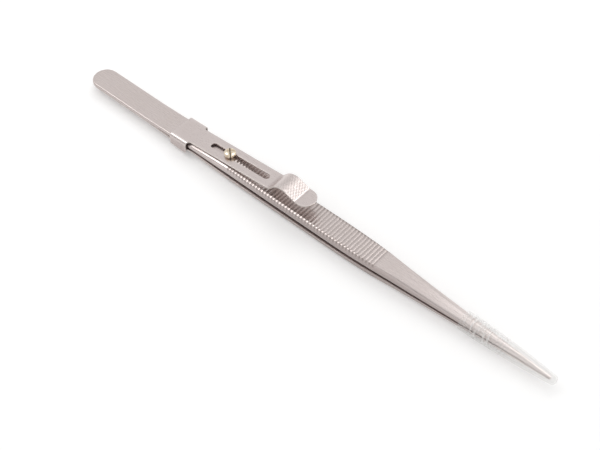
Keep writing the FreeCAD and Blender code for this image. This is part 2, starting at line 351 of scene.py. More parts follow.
def nickelMaterial():
    made, tree, shader = newMaterial("screwNickel")
    link = tree.links.new
    look = screwNickel
    length, width, cloud = look["brush"]
    grain = useGroup(tree, grainGroup, Length=length, Width=width, Cloud=cloud)
    start, end = look["blotches"]
    blotch = node(tree, "ShaderNodeMapRange", in_1=start, in_2=end)
    link(grain.outputs["Cloud"], blotch.inputs[0])
    base = mixColour(tree, blotch.outputs[0], look["plate"], look["tarnish"])
    # painted shade in the driver slot, a strip through the middle of the head
    where = node(tree, "ShaderNodeTexCoord")
    centre = place(screw["x"], 0, 0)
    turn = radians(screw["turn"])
    across = node(tree, "ShaderNodeVectorMath", operation="DOT_PRODUCT")
    link(where.outputs["Object"], across.inputs[0])
    across.inputs[1].default_value = (-sin(turn), cos(turn), 0)
    off = node(tree, "ShaderNodeMath", operation="ADD",
               in_1=centre.x * sin(turn) - centre.y * cos(turn))
    link(across.outputs["Value"], off.inputs[0])
    distance = node(tree, "ShaderNodeMath", operation="ABSOLUTE")
    link(off.outputs[0], distance.inputs[0])
    outer, inner = [(screw["slotWidth"] / 2 + spread) * mm for spread in look["slotShadeSpread"]]
    inSlot = node(tree, "ShaderNodeMapRange", in_1=outer, in_2=inner)
    link(distance.outputs[0], inSlot.inputs[0])
    base = mixColour(tree, inSlot.outputs[0], base, look["soilAndShade"])
    link(base, shader.inputs["Base Color"])
    shader.inputs["Metallic"].default_value = 1.0
    roughen(tree, grain.outputs["Cloud"], look["roughness"], shader)
    return made


clearVinyl = {
    "tint": (0.97, 0.962, 0.95, 1), "milk": (0.995, 0.985, 0.97, 1), "roughness": (0.10, 0.24),
    # how much shows face on and edge on, how much milkier the narrow end is, and how much the
    # milkier crease lines show, which partly stand in for glints on the wrinkles
    "face": 0.06, "edge": 0.38, "narrowEnd": 0.10, "crease": 0.25,
    "narrowFrom": 148.0, "narrowTo": 163.0, "creasesTo": 153.0, "creaseFade": 4.0,
    "lines": (0.53, 0.64), "rimBlend": 0.25, "ior": 1.52,
    "scratchDepth": 0.000012, "scratchStrength": 0.3, "brush": (1500.0, 260.0, 420.0)}


def vinylMaterial():
    made, tree, shader = newMaterial("clearVinyl")
    link = tree.links.new
    k = clearVinyl
    length, width, cloud = k["brush"]
    grain = useGroup(tree, grainGroup, Length=length, Width=width, Cloud=cloud)
    base = mixColour(tree, grain.outputs["Cloud"], k["tint"], k["milk"])
    link(base, shader.inputs["Base Color"])
    roughen(tree, grain.outputs["Scratch"], k["roughness"], shader)
    rim = node(tree, "ShaderNodeLayerWeight")
    rim.inputs["Blend"].default_value = k["rimBlend"]
    thick = node(tree, "ShaderNodeMapRange", in_3=k["face"], in_4=k["edge"])
    link(rim.outputs["Facing"], thick.inputs[0])
    where = node(tree, "ShaderNodeTexCoord")
    split = node(tree, "ShaderNodeSeparateXYZ")
    link(where.outputs["Object"], split.inputs[0])
    narrow = node(tree, "ShaderNodeMapRange", in_1=place(k["narrowFrom"], 0, 0).x,
                  in_2=place(k["narrowTo"], 0, 0).x, in_4=k["narrowEnd"])
    link(split.outputs[0], narrow.inputs[0])
    creased = node(tree, "ShaderNodeMapRange", in_1=place(k["creasesTo"], 0, 0).x,
                   in_2=place(k["creasesTo"] - k["creaseFade"], 0, 0).x, in_4=k["crease"])
    link(split.outputs[0], creased.inputs[0])
    start, end = k["lines"]
    lines = node(tree, "ShaderNodeMapRange", in_1=start, in_2=end)
    link(grain.outputs["Scratch"], lines.inputs[0])
    faceOn = node(tree, "ShaderNodeMath", operation="SUBTRACT", in_0=1.0)
    link(rim.outputs["Facing"], faceOn.inputs[1])
    # milkier lines over the creases, partly a painted highlight for glints on the wrinkles
    crease = creased
    for part in (lines, faceOn):
        shown = node(tree, "ShaderNodeMath", operation="MULTIPLY")
        link(crease.outputs[0], shown.inputs[0])
        link(part.outputs[0], shown.inputs[1])
        crease = shown
    total = thick.outputs[0]
    for part in (narrow, crease):
        add = node(tree, "ShaderNodeMath", operation="ADD", use_clamp=True)
        link(total, add.inputs[0])
        link(part.outputs[0], add.inputs[1])
        total = add.outputs[0]
    link(total, shader.inputs["Alpha"])
    shader.inputs["IOR"].default_value = k["ior"]
    scratch(tree, grain.outputs["Scratch"], k, shader)
    return made


finishes = {
    "arm_steel": satinMaterial("armSteel", armSteel),
    "lock_steel": satinMaterial("lockSteel", lockSteel),
    "screw_nickel": nickelMaterial(),
    "clear_vinyl": vinylMaterial(),
}
for label, cadNode in frame["nodes"].items():
    slotName = next(s["material_slot"] for s in frame["record"]["subparts"] if s["node"] == label)
    cadNode.data.materials.clear()
    cadNode.data.materials.append(finishes[slotName])
print("finishes ready")


arms = {
    # heights and half widths along the strip, in millimetres from the tail
    "back": [(25, 0.75), (36, 1.17), (42, 1.48), (48, 1.98), (50, 2.10), (54, 2.44), (60, 2.60),
             (85, gripHeight), (116, gripHeight), (125, 2.45), (135, 2.20), (150, 1.66),
             (157, 1.32), (armLength, 0.55)],
    "shoulder": [(25, 0.32), (42, 0.85), (48, 1.20), (60, 1.45), (85, 1.50), (102.5, 1.45),
                 (116, 1.40), (135, 0.95), (150, 0.66), (armLength, 0.25)],
    "inner": [(25, 0.0), (36, 0.25), (48, 0.47), (60, 0.65), (85, 0.70), (102.5, 0.60),
              (116, 0.50), (137, 0.38), (141, 0.27), (150, 0.18), (armLength, 0.10)],
    # how far the middle of the gap lies below the meeting plane
    "gapDrop": [(36, 0.0), (48, 0.16), (54, 0.25), (116, 0.27), (135, 0.10), (150, 0.0)],
    "side": [(38, tailHalfWidth), (45, 3.80), (60, 3.86), (85, 3.92), (97, 3.88), (102.5, 3.76),
             (110, 3.39), (116, 3.00), (125, 2.53), (135, 2.04), (143, 1.52), (150, 1.02),
             (156, 0.68), (armLength, 0.40)],
    "flat": [(38, tailHalfWidth - 0.40), (45, 3.40), (60, 3.50), (85, 3.54), (97, 3.52),
             (102.5, 3.44), (108, 3.22), (112, 2.90), (118, 2.15), (126, 1.15), (132, 0.50),
             (137, 0.27), (142, 0.15), (armLength, 0.10)],
    # a polished facet along the edge of the back: its share, width and drop
    "facet": [(39, 0), (43, 1), (84, 1), (92, 0.75), (104, 0.65), (109, 0)],
    "facetWidth": 0.50, "facetDrop": 0.21, "facetBlend": 0.15,
    # how full the edge between back and side is: 1 leaves a straight bevel, 2 a full quarter round
    "roundness": [(25, 1.6), (42, 1.9), (60, 1.75), (102.5, 1.7), (116, 1.8), (135, 1.9)],
    "grooves": {"first": 58.06, "pitch": 1.111, "count": 48,
                "depth": [(72, 0.14), (76, 0.07), (90, 0.058)],
                # how dark a groove is painted: dirt, with painted shade where the thumb rest hangs
                # over the grooves
                "dirtAndShade": [(71, 0.42), (75, 0.9), (84, 0.9), (90, 0.42)],
                "facetDepth": 0.075, "facetDirtAndShade": 1.0},
    "tipRound": 0.55, "innerLip": 0.07, "bendHalf": 9.0,
    # how finely the strip is divided, along it and across it
    "tailStep": 2.1, "heelStep": 0.7, "heelFrom": 34.0, "stepsPerGroove": 10, "grooveGap": 0.6,
    "tipStep": 0.9, "tipRoundSteps": 7, "tailFan": 29, "edgeSteps": 10,
    "backShares": (0, 0.4, 0.8, 0.965), "facetShares": (1, 0.85, 0.45), "innerShare": 0.6,
}


def armStations():
    k = arms
    g = k["grooves"]
    stations = []
    x = tailHalfWidth
    while x < g["first"] - k["grooveGap"]:
        stations.append(x)
        x += k["heelStep"] if x > k["heelFrom"] else k["tailStep"]
    steps = k["stepsPerGroove"]
    stations += [g["first"] + (i / steps - 0.5) * g["pitch"] for i in range(g["count"] * steps + 1)]
    end = armLength - k["tipRound"]
    x = stations[-1] + k["grooveGap"]
    while x < end:
        stations.append(x)
        x += k["tipStep"]
    steps = k["tipRoundSteps"]
    stations += [end + k["tipRound"] * sin(pi / 2 * i / steps) for i in range(steps + 1)]
    return stations


def armProfile(x, lower):
    # (distance from the centre line, height) from the middle of the back to the inner face
    k = arms
    back = smoothAlong(x, k["back"])
    shoulder = smoothAlong(x, k["shoulder"])
    inner = smoothAlong(x, k["inner"]) + smoothAlong(x, k["gapDrop"]) * (1 if lower else -1)
    side = smoothAlong(x, k["side"])
    flat = smoothAlong(x, k["flat"])
    curve = 2 / smoothAlong(x, k["roundness"])
    facet = smoothAlong(x, k["facet"])
    wide, drop = k["facetWidth"] * facet, k["facetDrop"] * facet ** 2
    points = [((flat - wide) * t, back) for t in k["backShares"]]
    points += [(flat - wide * t, back - drop * (1 - t)) for t in k["facetShares"]]
    edge = back - drop
    steps = k["edgeSteps"]
    for i in range(steps + 1):
        a = pi / 2 * i / steps
        points.append((flat + (side - flat) * sin(a) ** curve,
                       shoulder + (edge - shoulder) * cos(a) ** curve))
    lip = k["innerLip"]
    points += [(side, (shoulder + inner + lip) / 2), (side, inner + lip),
               (side - lip * 0.3, inner + lip * 0.3), (side - lip, inner),
               (side * k["innerShare"], inner), (0, inner)]
    past = max(0.0, (x - armLength + k["tipRound"]) / k["tipRound"])
    if past > 0:
        keep = sqrt(max(0.0, 1 - past * past))
        middle = (back + inner) / 2
        points = [(d * keep, middle + (z - middle) * keep) for d, z in points]
    return points


def groove(x, z):
    # from 0 on a ridge to 1 in the bottom of a groove, running out down the side
    g = arms["grooves"]
    number = (x - g["first"]) / g["pitch"]
    if not -0.5 < number < g["count"] - 0.5:
        return 0.0
    shoulder = smoothAlong(x, arms["shoulder"])
    edge = smoothAlong(x, arms["back"]) - arms["facetDrop"]
    down = max(0.0, min(1.0, (z - shoulder) / (edge - shoulder)))
    return down * (1 + cos(2 * pi * number)) / 2


def grooveValue(x, y, curve, onFacet):
    # what a groove's curve gives on the back, changing to another value on the polished facet
    edge = smoothAlong(x, arms["flat"]) - arms["facetWidth"] * smoothAlong(x, arms["facet"])
    share = max(0.0, min(1.0, (abs(y) - edge) / arms["facetBlend"] + 1))
    onBack = smoothAlong(x, arms["grooves"][curve])
    return onBack + (arms["grooves"][onFacet] - onBack) * share


def armPiece(name, lower):
    k = arms
    fanSteps = k["tailFan"]
    backPoints = len(k["backShares"]) + len(k["facetShares"]) + k["edgeSteps"] + 1
    sign = -1 if lower else 1
    profiles = [(x, armProfile(x, lower)) for x in armStations()]

    def side(x, profile, way):
        cut = [grooveValue(x, d, "depth", "facetDepth") * groove(x, z)
               for d, z in profile[:backPoints]]
        cut += [0.0] * (len(profile) - backPoints)
        return [(x, d * way, z - deep) for (d, z), deep in zip(profile, cut)]

    rays = [side(x, profile, 1) for x, profile in reversed(profiles)]
    for i in range(1, fanSteps):
        a = pi / 2 + pi * i / fanSteps
        rays.append([(tailHalfWidth + d * cos(a), d * sin(a), z) for d, z in profiles[0][1]])
    rays += [side(x, profile, -1) for x, profile in profiles]
    points, rows = numberPoints([[place(x, y, z * sign) for x, y, z in ray] for ray in rays])
    faces = stitch(rows)
    if not lower:
        faces = [f[::-1] for f in faces]
    # darker colour in the grooves: dirt, and painted shade under the thumb rest and between the
    # beads on the facet
    soilAndShade = []
    for p in points:
        x, y, z = (p.x - tailX) / mm, p.y / mm, (p.z - midZ) / mm * sign
        soilAndShade.append(groove(x, z) * grooveValue(x, y, "dirtAndShade", "facetDirtAndShade"))
    return makePiece(name, points, faces, "arm_steel", soilAndShade=soilAndShade)


print("arms")
lowerArm = armPiece("lowerArm", True)
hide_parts("lower_arm")
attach(lowerArm, "lower_arm")
upperArm = armPiece("upperArm", False)
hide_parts("upper_arm_heel", "upper_arm")
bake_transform(upperArm)


lock = {
    "sheet": 0.45, "rim": 0.08,
    "edgeSoilAndShade": (0.7, 0.2),  # dark colour on the cut edges, round the outside and in the slot: partly scale, partly painted shade
    "rear": 35.9, "front": 42.2, "halfWidth": 4.75, "rearHeight": 2.20, "frontHeight": 2.45,
    "bend": 1.10, "tabHalf": 1.90, "earRear": 1.8, "earFront": 2.2, "earDrop": 0.05,
    "neck": 43.5, "neckSlope": 0.067, "neckRound": 0.95, "neckHalf": 3.32, "plateHalf": 3.22,
    "rise": 0.090, "slotRear": 48.4, "slotFront": 70.5, "slotHalf": 1.00, "softBend": 2.0,
    "crease": 72.9, "creaseRadius": 1.0, "rearSlope": 1.15, "frontSlope": 0.43,
    "crownRadius": 4.63, "kink": 82.7, "kinkHeight": 6.90, "kinkRadius": 1.5,
    "tongue": 87.1, "tongueHeight": 7.00,
    # where, measured from the neck, the sheet's bending starts and ends as the plate tips
    "tipFrom": -1.0, "tipTo": 3.0,
    "knurl": {"start": 75.2, "end": 82.5, "fadeIn": 3.6, "fadeOut": 0.2,
              "pitch": 0.62, "depth": 0.10, "step": 0.09, "margin": 0.1},
}
# spacing of the mesh points on the lock
lockMesh = {
    "edgeWide": 0.3, "edgeBend": 0.14, "edgeFlange": 0.25, "edgePlate": 0.9, "edgeCrown": 0.3,
    "filletSteps": 8, "tongueSteps": 16, "slotEndSteps": 12, "slotSideSteps": 26, "rimSteps": 4,
    "crown": 0.25, "band": 0.45, "plate": 1.1, "bendAcross": 0.16, "across": 0.55,
    "clear": 0.12, "knurlClear": 0.07,
}


def roundedLine(points, radii):
    # straight runs and the arcs between them in the side view, from one (x, height) to the next
    pieces = []
    start = points[0]
    for i, radius in enumerate(radii, start=1):
        corner = points[i]
        before, after = points[i - 1], points[i + 1]
        toBack = Vector((before[0] - corner[0], before[1] - corner[1])).normalized()
        toNext = Vector((after[0] - corner[0], after[1] - corner[1])).normalized()
        half = toBack.angle(toNext) / 2
        reach = radius / tan(half)
        inward = (toBack + toNext).normalized()
        centre = Vector(corner) + inward * (radius / sin(half))
        a = Vector(corner) + toBack * reach
        b = Vector(corner) + toNext * reach
        pieces.append(("run", start, tuple(a)))
        pieces.append(("arc", tuple(a), tuple(b), tuple(centre), radius, -1 if inward.y > 0 else 1))
        start = tuple(b)
    pieces.append(("run", start, points[-1]))
    return pieces


def lockLine():
    k = lock
    neckHeight = k["frontHeight"] + (k["neck"] - k["front"]) * k["neckSlope"]
    crease = (k["crease"], neckHeight + k["rise"] * (k["crease"] - k["neck"]))
    kink = (k["kink"], k["kinkHeight"])
    crownX = ((kink[1] - crease[1] + k["rearSlope"] * crease[0] + k["frontSlope"] * kink[0])
              / (k["rearSlope"] + k["frontSlope"]))
    crown = (crownX, crease[1] + k["rearSlope"] * (crownX - crease[0]))
    points = [(k["rear"], k["rearHeight"]), (k["front"], k["frontHeight"]), (k["neck"], neckHeight),
              crease, crown, kink, (k["tongue"], k["tongueHeight"])]
    return roundedLine(points, [k["softBend"], k["softBend"], k["creaseRadius"],
                                k["crownRadius"], k["kinkRadius"]])


lockPieces = lockLine()


def lockHeight(x):
    # height and slope of the sheet's upper face
    for piece in lockPieces:
        a, b = piece[1], piece[2]
        if x <= b[0] or piece is lockPieces[-1]:
            if piece[0] == "run":
                slope = (b[1] - a[1]) / (b[0] - a[0])
                return a[1] + slope * (x - a[0]), slope
            centre, radius, side = piece[3], piece[4], piece[5]
            dx = x - centre[0]
            dz = sqrt(max(radius * radius - dx * dx, 1e-9))
            return centre[1] + side * dz, -side * dx / dz


def knurlPit(x, y):
    # 1 in the small pits that lie in crossed rows across the thumb rest, 0 between them
    k = lock["knurl"]
    fade = min(1.0, (x - k["start"]) / k["fadeIn"], (k["end"] - x) / k["fadeOut"])
    if fade <= 0:
        return 0.0
    rows = [cos(2 * pi * (x + s * y) / k["pitch"]) for s in (1, -1)]
    return fade * max(0.0, sum(rows) / 2)


def foldedPoint(x, v, depth):
    # x along the tool, v the distance across the unfolded sheet, depth into its thickness
    k = lock
    top, slope = lockHeight(x)
    flat = k["halfWidth"] - k["bend"]
    r = k["bend"]
    s = abs(v)
    side = 1 if v >= 0 else -1
    arc = r * pi / 2
    wall = 2 * (top - r)
    if s <= flat:
        y, z, ny, nz = s, top, 0.0, 1.0
    elif s <= flat + arc:
        a = (s - flat) / r
        y, z, ny, nz = flat + r * sin(a), top - r + r * cos(a), sin(a), cos(a)
    elif s <= flat + arc + wall:
        y, z, ny, nz = flat + r, top - r - (s - flat - arc), 1.0, 0.0
    elif s <= flat + 2 * arc + wall:
        a = (s - flat - arc - wall) / r
        y, z, ny, nz = flat + r * cos(a), r - top - r * sin(a), cos(a), -sin(a)
    else:
        y, z, ny, nz = flat - (s - flat - 2 * arc - wall), -top, 0.0, -1.0
    if depth < lock["sheet"] / 2 and s < k["plateHalf"]:
        depth += k["knurl"]["depth"] * knurlPit(x, v)
    normal = Vector((-slope * nz, ny * side, nz)).normalized()
    return place(x - normal.x * depth, y * side - normal.y * depth, z - normal.z * depth)


def lockOutline():
    # right half of the unfolded sheet's edge, from the rear centre round to the tongue
    k = lock
    flat = k["halfWidth"] - k["bend"]
    r = k["bend"]
    arc = r * pi / 2
    top = (k["rearHeight"] + k["frontHeight"]) / 2
    wall = 2 * (top - r)
    vEnd = flat + 2 * arc + wall + (flat - k["tabHalf"])
    bottom = -k["frontHeight"] - k["earDrop"]

    def edgeZ(v):
        if v <= flat + arc:
            return top
        if v <= flat + arc + wall:
            return top - r - (v - flat - arc)
        if v <= flat + 2 * arc + wall:
            return r - top - r * sin((v - flat - arc - wall) / r)
        return -top

    def inset(v, radius):
        below = bottom + radius - edgeZ(v)
        return 0.0 if below <= 0 else radius - sqrt(radius * radius - min(below, radius) ** 2)

    m = lockMesh
    edge = [(k["rear"], 0.0)]
    v = m["edgeWide"]
    while v < vEnd - 1.5 * k["rim"]:
        edge.append((k["rear"] + inset(v, k["earRear"]), v))
        v += m["edgeWide"] if v < flat + arc else m["edgeBend"]
    edge += [(k["rear"] + inset(vEnd, k["earRear"]), vEnd),
             (k["front"] - inset(vEnd, k["earFront"]), vEnd)]
    filletTop = flat + r * asin((k["neckHalf"] + k["neckRound"] - flat) / r)
    v = vEnd - m["edgeBend"]
    while v > filletTop:
        edge.append((k["front"] - inset(v, k["earFront"]), v))
        v -= m["edgeBend"] if v > flat + arc else m["edgeFlange"]
    for i in range(m["filletSteps"] + 1):
        a = pi / 2 * i / m["filletSteps"]
        edge.append((k["front"] + k["neckRound"] * (1 - cos(a)),
                     filletTop - (filletTop - k["neckHalf"]) * sin(a)))
    x = k["neck"] + 0.5
    while x < k["tongue"] - k["plateHalf"]:
        along = min(1.0, (x - k["neck"]) / (k["crease"] - k["neck"]))
        edge.append((x, k["neckHalf"] + (k["plateHalf"] - k["neckHalf"]) * along))
        x += m["edgeCrown"] if x > k["crease"] - 2 else m["edgePlate"]
    radius = k["plateHalf"]
    for i in range(m["tongueSteps"] + 1):
        a = pi / 2 * i / m["tongueSteps"]
        edge.append((k["tongue"] - radius + radius * sin(a), radius * cos(a)))
    return edge


def slotOutline():
    k = lock
    r = k["slotHalf"]
    rear, front = k["slotRear"] + r, k["slotFront"] - r
    count, turns = lockMesh["slotSideSteps"], lockMesh["slotEndSteps"]

    def roundEnd(x, first):
        angles = [(first + i) * pi / turns for i in range(turns)]
        return [(x + r * cos(a), r * sin(a)) for a in angles]

    edge = roundEnd(front, -turns // 2)
    edge += [(front + (rear - front) * i / count, r) for i in range(count)]
    edge += roundEnd(rear, turns // 2)
    edge += [(rear + (front - rear) * i / count, -r) for i in range(count)]
    return edge


def inwardNormals(loop, sign):
    out = []
    for i, p in enumerate(loop):
        a, b = loop[i - 1], loop[(i + 1) % len(loop)]
        t = Vector((b[0] - a[0], b[1] - a[1])).normalized()
        out.append(Vector((t.y, -t.x)) * sign)
    return out


def signedArea(loop):
    return sum(a[0] * b[1] - b[0] * a[1] for a, b in zip(loop, loop[1:] + loop[:1])) / 2


def insideLoop(p, loop):
    inside = False
    for a, b in zip(loop, loop[1:] + loop[:1]):
        if (a[1] > p[1]) != (b[1] > p[1]):
            if p[0] < a[0] + (p[1] - a[1]) * (b[0] - a[0]) / (b[1] - a[1]):
                inside = not inside
    return inside


def nearLoop(p, loop, reach):
    for a, b in zip(loop, loop[1:] + loop[:1]):
        d = Vector((b[0] - a[0], b[1] - a[1]))
        t = max(0.0, min(1.0, ((p[0] - a[0]) * d.x + (p[1] - a[1]) * d.y) / d.length_squared))
        if hypot(p[0] - a[0] - t * d.x, p[1] - a[1] - t * d.y) < reach:
            return True
    return False


def lockFill(outer, hole):
    # points inside the sheet: finer over bends and over the knurl
    k = lock
    m = lockMesh
    n = k["knurl"]
    points = []
    x = k["rear"] + m["edgeWide"]
    while x < k["tongue"]:
        fine = n["start"] - n["margin"] < x < n["end"] + n["margin"]
        wide = x < k["front"] + 0.9
        v = 0.0
        limit = 12.0 if wide else 3.4  # past the metal's edge, seen from the middle line
        while v < limit:
            for s in ((1, -1) if v else (1,)):
                p = (x, v * s)
                clear = m["knurlClear"] if fine else m["clear"]
                if insideLoop(p, outer) and not nearLoop(p, outer, clear):
                    if not insideLoop(p, hole) and not nearLoop(p, hole, m["clear"]):
                        points.append(p)
            if fine:
                v += n["step"]
            elif wide and v > k["halfWidth"] - k["bend"] - 0.1:
                v += m["bendAcross"]
            else:
                v += m["across"]
        if fine:
            x += n["step"]
        elif x > k["crease"] - 1.5:
            x += m["crown"]
        elif x < k["neck"] + 0.5:
            x += m["band"]
        else:
            x += m["plate"]
    return points


def lockPiece():
    k = lock
    half = lockOutline()
    outer = half + [(x, -v) for x, v in reversed(half[1:-1])]
    if signedArea(outer) < 0:
        outer = outer[::-1]
    hole = slotOutline()
    if signedArea(hole) > 0:
        hole = hole[::-1]
    loops = [outer, hole]
    normals = [inwardNormals(loop, 1) for loop in loops]  # both point out of the metal
    rim = k["rim"]
    edgeLoops = [[(p[0] - n.x * rim, p[1] - n.y * rim) for p, n in zip(loop, ns)]
                 for loop, ns in zip(loops, normals)]
    fill = lockFill(*edgeLoops)
    flatPoints = [Vector(p) for loop in edgeLoops for p in loop] + [Vector(p) for p in fill]
    edges = []
    start = 0
    for loop in edgeLoops:
        count = len(loop)
        edges += [(start + i, start + (i + 1) % count) for i in range(count)]
        start += count
    result = delaunay_2d_cdt(flatPoints, edges, [], 1, 1e-5)
    verts, triangles = result[0], result[2]
    found = {source: i for i, sources in enumerate(result[3]) for source in sources}
    hollow = edgeLoops[1]
    kept = []
    for t in triangles:
        c = sum((verts[i] for i in t), Vector((0, 0))) / 3
        if not insideLoop(c, hollow) or nearLoop(c, hollow, 1e-6):
            kept.append(list(t))
    points = [foldedPoint(v.x, v.y, 0.0) for v in verts]
    # the knurl's pits get a darker colour
    soilAndShade = [knurlPit(v.x, v.y) for v in verts] + [0.0] * len(verts)
    lower = len(points)
    points += [foldedPoint(v.x, v.y, k["sheet"]) for v in verts]
    faces = kept + [[i + lower for i in reversed(t)] for t in kept]
    # rolled rims between the upper and the lower face
    first = 0
    steps = lockMesh["rimSteps"]
    turns = [pi / 2 * a / steps for a in range(1, steps + 1)]
    rungs = [(rim * sin(a), rim * (1 - cos(a))) for a in turns]
    rungs += [(out, k["sheet"] - deep) for out, deep in reversed(rungs)]
    # the cut edges get a dark colour: partly scale, partly painted shade along the slot's walls
    for loop, ns, edgeDarkness in zip(edgeLoops, normals, k["edgeSoilAndShade"]):
        topRow = [found[first + i] for i in range(len(loop))]
        first += len(loop)
        rows = [topRow]
        for out, deep in rungs:
            row = []
            for p, n in zip(loop, ns):
                row.append(len(points))
                points.append(foldedPoint(p[0] + n.x * out, p[1] + n.y * out, deep))
                soilAndShade.append(edgeDarkness)
            rows.append(row)
        rows.append([i + lower for i in topRow])
        for a, b in zip(rows, rows[1:]):
            for i in range(len(a)):
                j = (i + 1) % len(a)
                faces.append([a[i], b[i], b[j], a[j]])
    return makePiece("lockSlide", points, faces, "lock_steel", 50, soilAndShade)


print("lock slide")
lockSlide = lockPiece()
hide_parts("lock_band", "lock_plate")
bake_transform(lockSlide)


def lathe(profile, steps, axis):
    # (along, out) points turned round an axis
    turns = [2 * pi * k / steps for k in range(steps)]
    points, rows = numberPoints(
        [[axis(along, out * cos(a), out * sin(a)) for along, out in profile] for a in turns])
    return points, stitch(rows, closed=True)


def screwPiece():
    k = screw
    rim = k["seat"] + k["rimHeight"]
    profile = [(k["foot"], 0), (k["foot"], k["shank"]), (k["seat"], k["shank"]),
               (k["seat"], k["head"] - k["chamfer"]),
               (k["seat"] + k["chamferRound"], k["head"] - k["chamferRound"]),
               (k["seat"] + k["chamfer"], k["head"])]
    for i in range(k["domeSteps"] + 1):
        a = pi / 2 * i / k["domeSteps"]
        profile.append((rim + (k["top"] - rim) * sin(a), k["head"] * cos(a)))
    points, faces = lathe(profile, k["roundSteps"],
                          lambda along, a, b: place(k["x"] + a, b, along))
    faces = [f[::-1] for f in faces]
    piece = makePiece("guideScrew", points, faces, "screw_nickel", 40)
    # the driver slot is cut by a block that stands clear of the head
    cutter = bpy.data.meshes.new("driverSlot")
    w, far = k["slotWidth"] / 2, k["head"] + 1
    low, high = k["top"] - k["slotDepth"], k["top"] + 1
    c, s = cos(radians(k["turn"])), sin(radians(k["turn"]))
    ring = ((-far, -w), (far, -w), (far, w), (-far, w))
    cutter.from_pydata(
        [place(k["x"] + a * c - b * s, a * s + b * c, z) for z in (low, high) for a, b in ring], [],
        [(3, 2, 1, 0), (4, 5, 6, 7), (0, 1, 5, 4), (1, 2, 6, 5), (2, 3, 7, 6), (3, 0, 4, 7)])
    tool = bpy.data.objects.new("driverSlot", cutter)
    bpy.context.scene.collection.objects.link(tool)
    cut = piece.modifiers.new("cut", "BOOLEAN")
    cut.operation = "DIFFERENCE"
    cut.solver = "EXACT"
    cut.object = tool
    soft = piece.modifiers.new("soft", "BEVEL")
    soft.width = k["softEdge"] * mm
    soft.segments = 2
    soft.limit_method = "ANGLE"
    soft.angle_limit = radians(50)
    bpy.context.view_layer.update()
    shown = piece.evaluated_get(bpy.context.evaluated_depsgraph_get())
    done = bpy.data.meshes.new_from_object(shown)
    piece.modifiers.clear()
    piece.data = done
    done.set_sharp_from_angle(angle=radians(40))
    bpy.data.objects.remove(tool)
    return piece


print("guide screw")
guideScrew = screwPiece()
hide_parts("guide_screw")
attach(guideScrew, "lower_arm")


cap = {
    "wall": 0.38, "rear": 138.0, "straight": 141.0, "rearRadius": 2.85, "frontRadius": 1.38,
    "end": 166.6, "nose": 0.95, "lip": 0.12, "lipInside": 0.5, "swell": 0.28,
    "wrinkles": {"from": 139.5, "to": 153.0, "depth": 0.010, "inside": 0.8,
                 "rings": 5.1, "fineRings": 8.3, "fineShare": 0.6},
    # how finely the sleeve is divided
    "roundSteps": 80, "firstStep": 0.35, "wrinkleStep": 0.14, "smoothStep": 0.8,
    "noseSteps": 8, "innerNoseSteps": 5, "innerGap": 0.4,
}


def capRadius(x, inset):
    k = cap
    front = k["end"] - inset - k["nose"]
    rear = k["rearRadius"] - inset
    tip = k["frontRadius"] - inset
    if x <= k["straight"]:
        return rear
    share = min(1.0, (x - k["straight"]) / (front - k["straight"]))
    return rear + (tip - rear) * share + k["swell"] * sin(pi * share)


def capWrinkle(x, a):
    # stretch rings that fade forwards and run part of the way round
    w = cap["wrinkles"]
    if not w["from"] < x < w["to"]:
        return 0.0
    fade = sin(pi * (x - w["from"]) / (w["to"] - w["from"]))
    broad = sin(x * w["rings"] + 0.9 * sin(a * 2 + 1) + 0.5 * sin(x * 1.7))
    fine = sin(x * w["fineRings"] - 1.2 * sin(a * 3))
    part = 0.65 + 0.35 * sin(a * 2 + x * 0.6)  # deeper on some sides than on others
    return -w["depth"] * fade * max(0.0, broad + w["fineShare"] * fine) * part


def capPiece():
    k = cap
    steps = k["roundSteps"]
    outside = [k["rear"] + k["lip"] * t for t in (0.3, 1.0)]
    x = k["rear"] + k["firstStep"]
    while x < k["end"] - k["nose"]:
        outside.append(x)
        x += k["wrinkleStep"] if x < k["wrinkles"]["to"] else k["smoothStep"]
    front = k["end"] - k["nose"]
    inEnd = k["end"] - k["wall"]
    inNose = k["nose"] - k["wall"] / 2
    rows = []
    for i in range(steps):
        a = 2 * pi * i / steps
        row = [(k["rear"], k["rearRadius"] - k["lip"])]
        for x in outside:
            short = k["lip"] * 0.3 if x < k["rear"] + k["lip"] * 0.5 else 0.0
            row.append((x, capRadius(x, 0) - short + capWrinkle(x, a)))
        for j in range(k["noseSteps"] + 1):
            t = pi / 2 * j / k["noseSteps"]
            row.append((front + k["nose"] * sin(t),
                        k["frontRadius"] - k["nose"] * (1 - cos(t))))
        row += [(k["end"], 0.0), (inEnd, 0.0)]
        for j in range(k["innerNoseSteps"], -1, -1):
            t = pi / 2 * j / k["innerNoseSteps"]
            row.append((inEnd - inNose + inNose * sin(t),
                        k["frontRadius"] - k["wall"] - inNose * (1 - cos(t))))
        for x in reversed(outside):
            if x < inEnd - inNose - k["innerGap"]:
                wrinkle = capWrinkle(x, a) * k["wrinkles"]["inside"]
                row.append((x, capRadius(x, k["wall"]) + wrinkle))
        row.append((k["rear"], k["rearRadius"] - k["wall"] + k["lip"] * k["lipInside"]))
        row.append((k["rear"], k["rearRadius"] - k["lip"]))
        rows.append([place(x, r * cos(a), r * sin(a)) for x, r in row])
    points, rows = numberPoints(rows)
    return makePiece("tipCap", points, stitch(rows, closed=True), "clear_vinyl", 60)


print("tip cap")
tipCap = capPiece()
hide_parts("tip_cap")
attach(tipCap, "tip_cap")


studio = {
    "floorSize": 6.0, "floorColour": (0.98, 0.98, 0.98, 1), "floorRoughness": 0.9,
    "floorLift": 0.10, "floorGlow": 2.20, "fadeFrom": 0.25, "fadeTo": 0.80,
    "world": (0.68, 0.675, 0.67, 1),
}
# cards that only show in the metal: direction, distance, width and height in metres, grey level
cards = {
    "nearCard": ((-0.30, -0.85, 0.36), 0.9, 1.5, 0.5, 0.56),
    "ceilingCard": ((-0.41, 0.47, 0.78), 1.2, 1.7, 1.5, 0.86),
    "brightCard": ((0.26, 0.48, 0.84), 0.9, 0.52, 0.52, 3.00),
}


